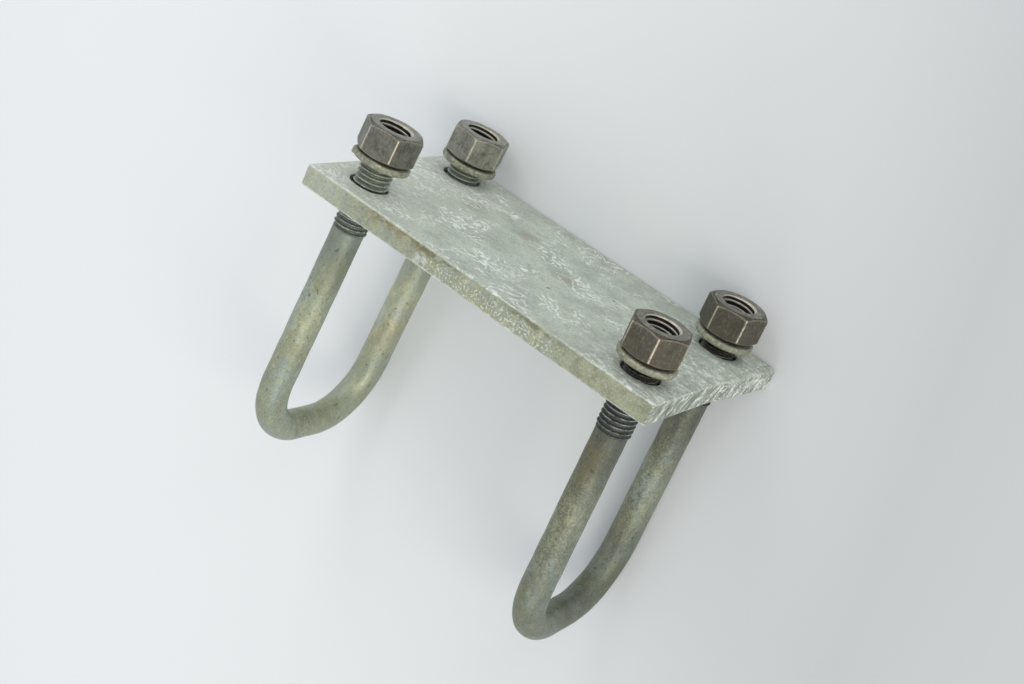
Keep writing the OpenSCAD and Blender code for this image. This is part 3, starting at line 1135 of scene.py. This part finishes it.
    def outline(self, xs: Array, ys: Array) -> tuple[Array, Array]:
        """The net of the narrow sides, between the two big faces.

        Args:
            xs: The big faces' lines along the plate.
            ys: Their lines across it.

        Returns:
            Its points and the corners of its cells.
        """
        loop = np.concatenate([np.stack([xs[:-1], 0 * xs[:-1] + ys[0]], -1),
                               np.stack([0 * ys[:-1] + xs[-1], ys[:-1]], -1),
                               np.stack([xs[:0:-1], 0 * xs[:0:-1] + ys[-1]], -1),
                               np.stack([0 * ys[:0:-1] + xs[0], ys[:0:-1]], -1)])
        rows = self.edge_rows
        drops = np.linspace(self.edge_round, LAYOUT.plate_t - self.edge_round, rows)
        points = np.concatenate([np.broadcast_to(loop, (rows,) + loop.shape),
                                 np.broadcast_to(-drops[:, None, None], (rows, len(loop), 1))], -1)
        return points.reshape(-1, 3), net_faces(rows, len(loop), False, True)[:, ::-1]

    def build(self) -> bpy.types.Object:
        """Joins the nets to one closed mesh and wears it unevenly along its edges.

        Returns:
            The plate.
        """
        half_w, t = self.width / 2, LAYOUT.plate_t
        xs = self.lines(self.left_end, self.front_end, LAYOUT.hole_pitch / 2, self.middle_cells[0])
        ys = self.lines(-half_w, half_w, LAYOUT.leg_gap / 2, self.middle_cells[1])
        nets = self.faces(xs, ys) + self.holes() + [self.outline(xs, ys)]
        starts = np.cumsum([0] + [len(points) for points, _ in nets[:-1]])
        quads = np.concatenate([cells + start for (_, cells), start in zip(nets, starts)])
        whole = self.shaped(np.concatenate([points for points, _ in nets]))
        _, first, back = np.unique(np.round(whole, 3), axis=0, return_index=True, return_inverse=True)
        merged, quads = whole[first], back.reshape(-1)[quads]
        x, y, z = merged.T
        wear = np.abs(0.1 * wander(merged, 11.0, 1.0) + 0.05 * wander(merged, 3.4, 2.0))
        reach = self.wear_reach
        inward = np.stack([
            soft_step(reach, 0, x - self.left_end) - soft_step(reach, 0, self.end_at(y) - x),
            -np.sign(y) * soft_step(reach, 0, half_w - np.abs(y)),
            np.where(z > -t / 2, -1.0, 1.0) * 0.5], -1)
        laid = carry(LAYOUT.laid(), merged + inward * wear[:, None])
        low, high = self.face_band
        face = soft_step(-low, -high, z) + soft_step(-t + low, -t + high, z)
        marks = {"place": merged, "face": np.clip(face, 0, 1)}
        return make_piece("plate", laid, quads, NO_FANS, marks)


@dataclass
class BentRod:
    """A U-bolt: a round rod with two bent corners and a rolled thread on each leg."""
    side: Side
    rod_r: float = 7.35
    bend_r: float = 30.0
    bend_flat: float = 15.0
    bend_drop: float = 122.65
    thread_len: float = 43.0
    fade: float = 1.6
    bevel: float = 1.2
    columns: int = 60
    thread_rows: int = 11
    plain_step: float = 1.3
    fine_extra: float = 2.0

    def stations(self) -> Array:
        """Distances along the middle line from the upper tip, close on the threads.

        Returns:
            The distances, rising.
        """
        arc = math.pi / 2 * self.bend_r
        half = self.bend_drop + arc + self.bend_flat / 2
        run = self.thread_len + self.fine_extra
        fine = int(run / (THREAD.pitch / self.thread_rows))
        one = spans((0.0, run, fine), (run, half, int((half - run) / self.plain_step)))
        return np.concatenate([one, (2 * half - one[:-1])[::-1]])

    def surface(self, s: Array, angle: Array) -> tuple[Array, dict[str, Array]]:
        """Points of the rod, in the U-bolt's frame.

        The middle line runs down the upper leg, round a corner, along the flat, round
        the second corner and up: its heading turns by s / bend_r in each corner. Round
        it, a point lies at radius r along cos(angle) outwards + sin(angle) x.

        Args:
            s: Distances along the middle line, as a column.
            angle: Angles round it, as a row.

        Returns:
            The points, and how far each lies in the thread, on its crest and from a tip.
        """
        arc = math.pi / 2 * self.bend_r
        down = np.minimum(s, self.bend_drop)
        first = np.clip(s - self.bend_drop, 0, arc) / self.bend_r
        along = np.clip(s - self.bend_drop - arc, 0, self.bend_flat)
        second = np.clip(s - self.bend_drop - arc - self.bend_flat, 0, arc) / self.bend_r
        up = np.maximum(s - self.bend_drop - 2 * arc - self.bend_flat, 0)
        top = LAYOUT.tip(self.side)
        y = -LAYOUT.leg_gap / 2 + self.bend_r * (1 - np.cos(first) + np.sin(second)) + along
        z = top - down - self.bend_r * (np.sin(first) - 1 + np.cos(second)) + up
        heading = first + second
        whole = 2 * (self.bend_drop + arc) + self.bend_flat
        from_tip = np.minimum(s, whole - s)
        out_y, out_z = -np.cos(heading), -np.sin(heading)
        azimuth = np.arctan2(np.cos(angle) * out_y, np.sin(angle))
        cut = THREAD.outside(azimuth, -from_tip)
        share = soft_step(self.thread_len, self.thread_len - self.fade, from_tip)
        middle = np.stack([0 * s, y, z], -1) * np.ones_like(angle)[..., None]
        around = np.stack([np.sin(angle) + 0 * s, np.cos(angle) * out_y, np.cos(angle) * out_z], -1)
        raw = middle + around * self.rod_r
        lumps = 0.09 * wander(raw, 7.0, 3.0 + self.side.value) + 0.05 * wander(raw, 2.6, 5.0)
        radius = self.rod_r + lumps * (1 - share) + share * (cut - self.rod_r)
        radius = np.minimum(radius, THREAD.crest_r - self.bevel + np.maximum(from_tip, 0))
        points = middle + radius[..., None] * around
        crest = (cut - THREAD.root_r) / (THREAD.crest_r - THREAD.root_r)
        return points, {"thread": share + 0 * angle, "crest": crest * share,
                        "along": from_tip + 0 * angle}

    def build(self) -> bpy.types.Object:
        """Builds the rod, with a flat closed end at each tip.

        Returns:
            The rod.
        """
        s = self.stations()[:, None]
        angle = np.linspace(0, 2 * math.pi, self.columns, endpoint=False)[None, :]
        points, marks = self.surface(s, angle)
        middles, ends = points[[0, -1]].mean(1), points[[0, -1]]
        inner = middles[:, None] + (ends - middles[:, None]) * 0.5
        flat = np.concatenate([middles[:1], inner[0], points.reshape(-1, 3), inner[1], middles[1:]])
        n, total = self.columns, len(flat)
        quads = net_faces(len(s) + 2, n, False, True, 1)[:, ::-1]
        j = np.arange(n)
        fans = np.concatenate([
            np.stack([0 * j, 1 + j, 1 + (j + 1) % n], -1)[:, ::-1],
            np.stack([0 * j + total - 1, total - 1 - n + j, total - 1 - n + (j + 1) % n], -1)])
        on_tip = {"thread": 1.0, "crest": 0.4, "along": 0.0}
        marks = {key: np.pad(values.ravel(), n + 1, constant_values=on_tip[key])
                 for key, values in marks.items()}
        in_plate = carry(LAYOUT.on_bolt(self.side), flat)
        marks["place"] = in_plate
        name = f"rod_{self.side.name.lower()}"
        return make_piece(name, carry(LAYOUT.laid(), in_plate), quads, fans[:, ::-1], marks)


@dataclass
class SpringWasher:
    """A split ring of square wire that climbs by its rise in one turn."""
    side: Side
    level: Level
    grip: float
    split_at: float
    thick: float = 3.0
    wide: float = 5.2
    ring_in: float = 8.4
    rise: float = 1.5
    split: float = 1.4
    round_r: float = 0.95
    gap: float = 0.3
    columns: int = 180
    cut_sizes: tuple[float, ...] = (0.0, 0.5, 0.93, 1.0)
    cut_share: float = 0.0012
    dent: float = 0.07
    dent_cell: float = 3.1

    def wire(self) -> Array:
        """Section of the wire: a rectangle with round corners.

        Returns:
            Points x (outwards, upwards).
        """
        a, b, r = self.wide / 2, self.thick / 2, self.round_r
        bend = np.radians(np.linspace(0, 90, 7))
        parts = []
        for k, (sx, sz) in enumerate(((1, 1), (-1, 1), (-1, -1), (1, -1))):
            t = bend + k * math.pi / 2
            parts.append(np.stack([sx * (a - r) + r * np.cos(t), sz * (b - r) + r * np.sin(t)], -1))
            if k in (0, 2):
                flat = np.linspace(1, -1, 7)[1:-1, None] * sx
                parts.append(np.concatenate([flat * (a - r), 0 * flat + sz * b], -1))
            else:
                parts.append(np.array([[sx * a, sz * 0.4], [sx * a, -sz * 0.4]]))
        return np.concatenate(parts)

    def build(self) -> bpy.types.Object:
        """Carries the wire round its turn and closes both cut ends.

        At share t of the turn, the wire's middle lies at the middle radius and at
        rise x (0.5 - t); at both cuts the section shrinks to a point.

        Returns:
            The washer.
        """
        wire = self.wire()
        mid = self.ring_in + self.wide / 2
        gap = math.asin(self.split / 2 / mid)
        t = np.linspace(0, 1, self.columns)[1:-1]
        t = np.concatenate([[0, 0, 0, self.cut_share], t, [1 - self.cut_share, 1, 1, 1]])
        size = np.ones_like(t)
        size[:4], size[-4:] = self.cut_sizes, self.cut_sizes[::-1]
        angle = (gap + (2 * math.pi - 2 * gap) * t)[:, None]
        climb = (self.rise * (0.5 - t))[:, None]

        def round_turn(out: Array, up: Array) -> Array:
            """Points of the ring at these distances from its axis and heights."""
            return np.stack([out * np.cos(angle), out * np.sin(angle), up + 0 * angle], -1)

        n, rows = len(wire), len(t)
        points = round_turn(mid + wire[None, :, 0] * size[:, None],
                            wire[None, :, 1] * size[:, None] + climb).reshape(-1, 3)
        centre = np.broadcast_to(round_turn(mid, climb), (rows, n, 3)).reshape(-1, 3)
        level = -self.grip - self.gap - (self.thick + self.rise) / 2
        leg = LAYOUT.on_leg(self.side, self.level)
        turned = shift(0, 0, level) @ turn(Axis.Z, self.split_at)
        in_plate = carry(leg, carry(turned, points))
        squeeze = np.abs(self.dent * wander(in_plate, self.dent_cell, 8.0))
        away = in_plate - carry(leg @ turned, centre)
        length = np.maximum(np.linalg.norm(away, axis=1, keepdims=True), TINY)
        in_plate = in_plate - away / length * squeeze[:, None] * (length > 0.5)
        # The first and last rows are single points, so only one point of each is kept
        keep = np.ones(len(points), bool)
        keep[1:n] = keep[-n + 1:] = False
        place = np.cumsum(keep) - 1
        place[1:n], place[-n + 1:] = place[0], place[len(points) - n]
        quads = place[net_faces(rows, n, False, True)]
        fans = np.concatenate([quads[:n, [1, 2, 3]], quads[-n:, [0, 1, 2]]])[:, ::-1]
        kept = in_plate[keep]
        name = f"washer_{self.level.name.lower()}_{self.side.name.lower()}"
        return make_piece(name, carry(LAYOUT.laid(), kept), quads[n:-n, ::-1], fans, {"place": kept})


@dataclass
class HexNut:
    """A hexagon nut with bevelled ends, a countersunk thread and worn edges."""
    side: Side
    level: Level
    grip: float
    spin: float
    flats: float = 25.0
    height: float = 14.0
    face_r: float = 11.836
    mouth_r: float = 8.3
    bevel: float = 30.0
    sharp: float = 110.0
    worn: float = 0.35
    bore_rows: int = 80
    corner_band: tuple[float, float] = (2.3, 0.4)
    # Each rounded corner: its size, and how bright it is painted, as wear with a highlight on the bevel arcs
    rounding: tuple[tuple[float, float], ...] = ((2.0, 0.0), (1.0, 0.22), (1.0, 0.12), (2.0, 0.0))
    side_depth: float = 0.4
    # Painted reflection in the countersunk mouths
    mouth_shine: float = 0.6
    dent: float = 0.05
    dent_cell: float = 3.6
    dent_reach: float = 14.0

    def angles(self) -> Array:
        """Angles round the nut, close together at its six corners."""
        one = np.array([-30, -29.3, -28.4, -27, -24.5, -20, -14, -7, 0, 7, 14, 20, 24.5, 27, 28.4, 29.3])
        return np.radians((np.arange(6)[:, None] * 60 + 30 + one[None, :]).ravel())

    def hexagon(self, angle: Array) -> Array:
        """Radius of the six sides, whose corners are slightly round.

        It is (flats / 2) / (sum of cos(angle - flat) ^ sharp) ^ (1 / sharp).

        Args:
            angle: Angles round the nut.

        Returns:
            One radius for each angle.
        """
        flats = np.radians(np.arange(6) * 60 + 30)
        facing = np.clip(np.cos(angle[:, None] - flats[None, :]), 0, None) ** self.sharp
        return self.flats / 2 / facing.sum(1) ** (1 / self.sharp)

    def outside(self, angle: Array) -> tuple[Array, Array]:
        """The profile outside, from the upper mouth round to the lower one.

        A cone takes off the hexagon's corners. Each corner of the profile is rounded by
        a curve of the second degree, between points a and b on its two sides.

        Args:
            angle: Angles round the nut.

        Returns:
            Rows x angles x (radius, height), and how bright each row is painted, as wear and as a highlight.
        """
        hexagon, h, one = self.hexagon(angle), self.height, np.ones_like(angle)
        low = (hexagon - self.face_r) * math.tan(math.radians(self.bevel))
        corners = [np.stack([radius * one, up * one], -1) for radius, up in (
            (self.mouth_r, h), (self.face_r, h), (hexagon, h - low), (hexagon, low),
            (self.face_r, 0), (self.mouth_r, 0))]
        rows = [(corners[0], 0.0)]
        for k, (size, wear_and_shine) in enumerate(self.rounding, 1):
            before, here, after = corners[k - 1:k + 2]
            back, ahead = before - here, after - here
            reach_b, reach_a = (np.linalg.norm(way, axis=1, keepdims=True) for way in (back, ahead))
            cut = np.minimum(self.worn * size, 0.45 * np.minimum(reach_a, reach_b))
            a, b = here + back / reach_b * cut, here + ahead / reach_a * cut
            if k in (1, 4):
                rows.append((before + (a - before) * 0.5, 0.0))
            rows.append((here + (a - here) * np.minimum(2.2, reach_b / cut * 0.8), 0.0))
            for t in (0.0, 0.25, 0.5, 0.75, 1.0):
                rows.append((a * (1 - t) ** 2 + here * 2 * t * (1 - t) + b * t * t, wear_and_shine))
            rows.append((here + (b - here) * np.minimum(2.2, reach_a / cut * 0.8), 0.0))
            if k == 2:
                rows += [(here + ahead * share, 0.0) for share in (0.25, 0.5, 0.75)]
        rows.append((corners[5], 0.0))
        return np.stack([row for row, _ in rows]), np.array([wear_and_shine for _, wear_and_shine in rows])

    def inside(self, angle: Array) -> tuple[Array, Array]:
        """The profile of the bore, from its lower mouth up: a thread between two cones.

        Args:
            angle: Angles round the nut.

        Returns:
            Rows x angles x (radius, height), and where a cone is wider than the thread.
        """
        z = np.linspace(0, self.height, self.bore_rows + 2)[1:-1, None]
        thread = THREAD.inside(angle[None, :] + math.radians(self.spin), z - self.grip)
        cone = self.mouth_r - np.minimum(z, self.height - z)
        return np.stack([np.maximum(thread, cone), z + 0 * thread], -1), cone > thread

    def build(self) -> bpy.types.Object:
        """Builds the nut as one closed surface, carried round and through its bore.

        Returns:
            The nut.
        """
        angle = self.angles()
        outer, edge = self.outside(angle)
        inner, cone = self.inside(angle)
        profile = np.concatenate([outer, inner])
        radius, up = profile[..., 0], profile[..., 1]
        bore = np.concatenate([np.zeros(outer.shape[:2]), np.ones(inner.shape[:2])])
        # The six upright edges are worn where they lie on the sides
        sixth = math.pi / 3
        by_corner = soft_step(*self.corner_band, np.degrees(np.abs(angle - sixth * np.round(angle / sixth))))
        on_side = np.abs(outer[:, 0, 0] - self.hexagon(angle)[0]) < self.side_depth
        # Bright marks: wear on the upright edges, wear and a painted highlight on the bevel arcs, and a
        # painted reflection in the mouth cones
        wear_and_shine = np.concatenate([np.maximum(edge[:, None], on_side[:, None] * by_corner),
                                self.mouth_shine * cone])
        wall = THREAD.crest_r + THREAD.play
        # Where the bore's painted glints go: on its thread's crests and in its mouth cones
        ridge = np.clip((wall - radius) / (wall - THREAD.nut_r), 0, 1) * bore
        ridge[len(outer):] = np.maximum(ridge[len(outer):], cone)
        top = ((up > self.height - 0.08) & (radius > self.mouth_r - 0.01)) * (1 - bore)
        local = np.stack([radius * np.cos(angle), radius * np.sin(angle), up], -1).reshape(-1, 3)
        dents = np.abs(self.dent * wander(local + self.grip * 9, self.dent_cell, 4.0))[:, None]
        dents = dents * (local / self.dent_reach * [1, 1, 0]) * (1 - bore.reshape(-1, 1))
        turned = shift(0, 0, -self.grip) @ turn(Axis.Z, self.spin)
        in_plate = carry(LAYOUT.on_leg(self.side, self.level), carry(turned, local - dents))
        quads = net_faces(len(profile), len(angle), True, True)[:, ::-1]
        marks = {"place": in_plate, "edge": wear_and_shine.ravel(), "bore": bore.ravel(),
                 "ridge": ridge.ravel(), "top": top.ravel(), "radius": radius.ravel()}
        name = f"nut_{self.level.name.lower()}_{self.side.name.lower()}"
        return make_piece(name, carry(LAYOUT.laid(), in_plate), quads, NO_FANS, marks)


@dataclass(frozen=True)
class Seat:
    """How far a nut lies below its leg's tip, and how its washer and it are turned."""
    grip: float
    split_at: float
    spin: float


SEATS = {(Side.LEFT, Level.UPPER): Seat(4.8, 215, 13.6), (Side.LEFT, Level.LOWER): Seat(7.4, 167, 50.5),
         (Side.RIGHT, Level.UPPER): Seat(5.0, 170, 53.9), (Side.RIGHT, Level.LOWER): Seat(7.3, 138, 13.1)}


# The table, the light and the camera

@dataclass
class Studio:
    """A pale table under soft light, seen from where the photograph was taken."""
    focal_px: float = 1776.16
    frame_px: float = 1024.0
    sensor: float = 36.0
    centre: tuple[float, float, float] = (298.40975, 252.27535, 748.41543)
    right: tuple[float, float, float] = (0.754697, 0.452522, -0.475033)
    upward: tuple[float, float, float] = (-0.536908, 0.842110, -0.050797)
    backward: tuple[float, float, float] = (0.377043, 0.293385, 0.878501)
    clip: tuple[float, float] = (0.01, 20.0)
    table_half: float = 8000.0
    table_pale: str = "#eef2f5"
    table_falloff_shade: str = "#91959a"
    sky: tuple[float, float, float, float] = (0.97, 0.985, 1.0, 1.0)
    sky_strength: float = 0.76
    lamps: tuple[tuple, ...] = (
        ("near_bends", (0.38, -0.66, 0.64), 0.33, 0.83, (1.0, 0.99, 0.97)),
        ("near_nuts", (0.38, 0.66, 0.64), 0.33, 0.46, (1.0, 0.99, 0.97)),
        ("behind_nuts", (-0.38, 0.66, 0.64), 0.33, 0.97, (1.0, 0.99, 0.97)),
        ("above", (0.49, 0.20, 0.85), 0.33, 0.3, (1.0, 0.99, 0.97)),
        ("beyond_end", (0.77, 0.0, 0.64), 0.45, 3.0, (1.0, 0.93, 0.78)))

    def camera(self) -> None:
        """Places the camera."""
        data = bpy.data.cameras.new("camera")
        data.sensor_width = self.sensor
        data.lens = self.focal_px / self.frame_px * self.sensor
        data.clip_start, data.clip_end = self.clip
        eye = bpy.data.objects.new("camera", data)
        axes = np.eye(4)
        axes[:3, 0], axes[:3, 1], axes[:3, 2] = self.right, self.upward, self.backward
        axes[:3, 3] = np.array(self.centre) * MM
        eye.matrix_world = Matrix(axes.tolist())
        bpy.context.scene.collection.objects.link(eye)
        bpy.context.scene.camera = eye

    def table(self) -> None:
        """A pale table top under the clamp, with painted shade that darkens it away from one corner."""
        points = self.table_half * np.array([[-1, -1, 0], [1, -1, 0], [1, 1, 0], [-1, 1, 0]])
        table = make_piece("table", points, np.array([[0, 1, 2, 3]]), NO_FANS, {})
        shop = Shop("table")
        place = shop.node("ShaderNodeTexCoord", {}, {}, "Object")
        x, y, _ = shop.parts(place)
        grain = shop.noise(shop.stretch(place, (1 / MM,) * 3), 30.0, 3.0)
        # Painted shade, standing in for light that falls off across the table:
        # The photograph's floor darkens away from its bright corner
        fall = ((0.405 + 0.96 * x + 0.18 * y).most(0.0) ** 2.4 * 2.3).least(0.62)
        fall = fall * ((x * x + y * y) ** 0.5).rise(1.1, 0.4)
        colour = shop.coats(self.table_pale, (self.table_falloff_shade, fall))
        table.data.materials.append(shop.close(colour, 0.78 + 0.04 * grain, 0.0, [(grain, 0.001)], 0.2))

    def lamp(self, name: str, place: tuple[float, float, float], size: float, power: float,
             colour: tuple[float, float, float]) -> None:
        """A square soft lamp that faces the clamp.

        Args:
            name: Name of the lamp.
            place: Where it stands, in metres.
            size: Width of its side, in metres.
            power: Its power, in watts.
            colour: Its colour.
        """
        data = bpy.data.lights.new(name, "AREA")
        data.shape, data.size, data.energy, data.color = "SQUARE", size, power, colour
        lamp = bpy.data.objects.new(name, data)
        back = np.array(place) / np.linalg.norm(place)
        side = np.cross([0, 0, 1.0], back)
        side = side / np.linalg.norm(side)
        axes = np.eye(4)
        axes[:3, 0], axes[:3, 1], axes[:3, 2] = side, np.cross(back, side), back
        axes[:3, 3] = place
        lamp.matrix_world = Matrix(axes.tolist())
        bpy.context.scene.collection.objects.link(lamp)

    def light(self) -> None:
        """Even light from all round, and five weak soft lamps."""
        world = bpy.data.worlds.new("room")
        world.use_nodes = True
        back = world.node_tree.nodes["Background"]
        back.inputs[0].default_value = self.sky
        back.inputs[1].default_value = self.sky_strength
        bpy.context.scene.world = world
        bpy.context.scene.view_settings.view_transform = "Standard"
        for lamp in self.lamps:
            self.lamp(*lamp)


def main() -> None:
    """Builds the clamp piece by piece, then the table, the light and the camera."""
    logging.basicConfig(level=logging.INFO, format="%(message)s")
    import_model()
    plate = Plate().build()
    plate.data.materials.append(PlateZinc().make())
    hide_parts("clamp_plate")
    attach(plate, "plate_and_u_bolts")
    rod_finish = RodZinc().make("rod_zinc")
    for side in Side:
        rod = BentRod(side).build()
        rod.data.materials.append(rod_finish)
        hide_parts(f"u_bolt_{side.name.lower()}")
        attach(rod, "plate_and_u_bolts")
    washer_finish, nut_finish = WasherZinc().make(), DarkSteel().make()
    for (side, level), seat in SEATS.items():
        where = f"{level.name.lower()}_{side.name.lower()}"
        washer = SpringWasher(side, level, seat.grip, seat.split_at).build()
        washer.data.materials.append(washer_finish)
        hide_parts(f"spring_washer_{where}")
        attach(washer, f"washer_{where}")
        nut = HexNut(side, level, seat.grip, seat.spin).build()
        nut.data.materials.append(nut_finish)
        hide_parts(f"hex_nut_{where}")
        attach(nut, f"nut_{where}")
    studio = Studio()
    studio.table()
    studio.light()
    studio.camera()
    for piece in bpy.data.objects:
        if piece.type == "MESH":
            LOG.info("%s: %d faces", piece.name, len(piece.data.polygons))


if __name__ == "__main__":
    main()
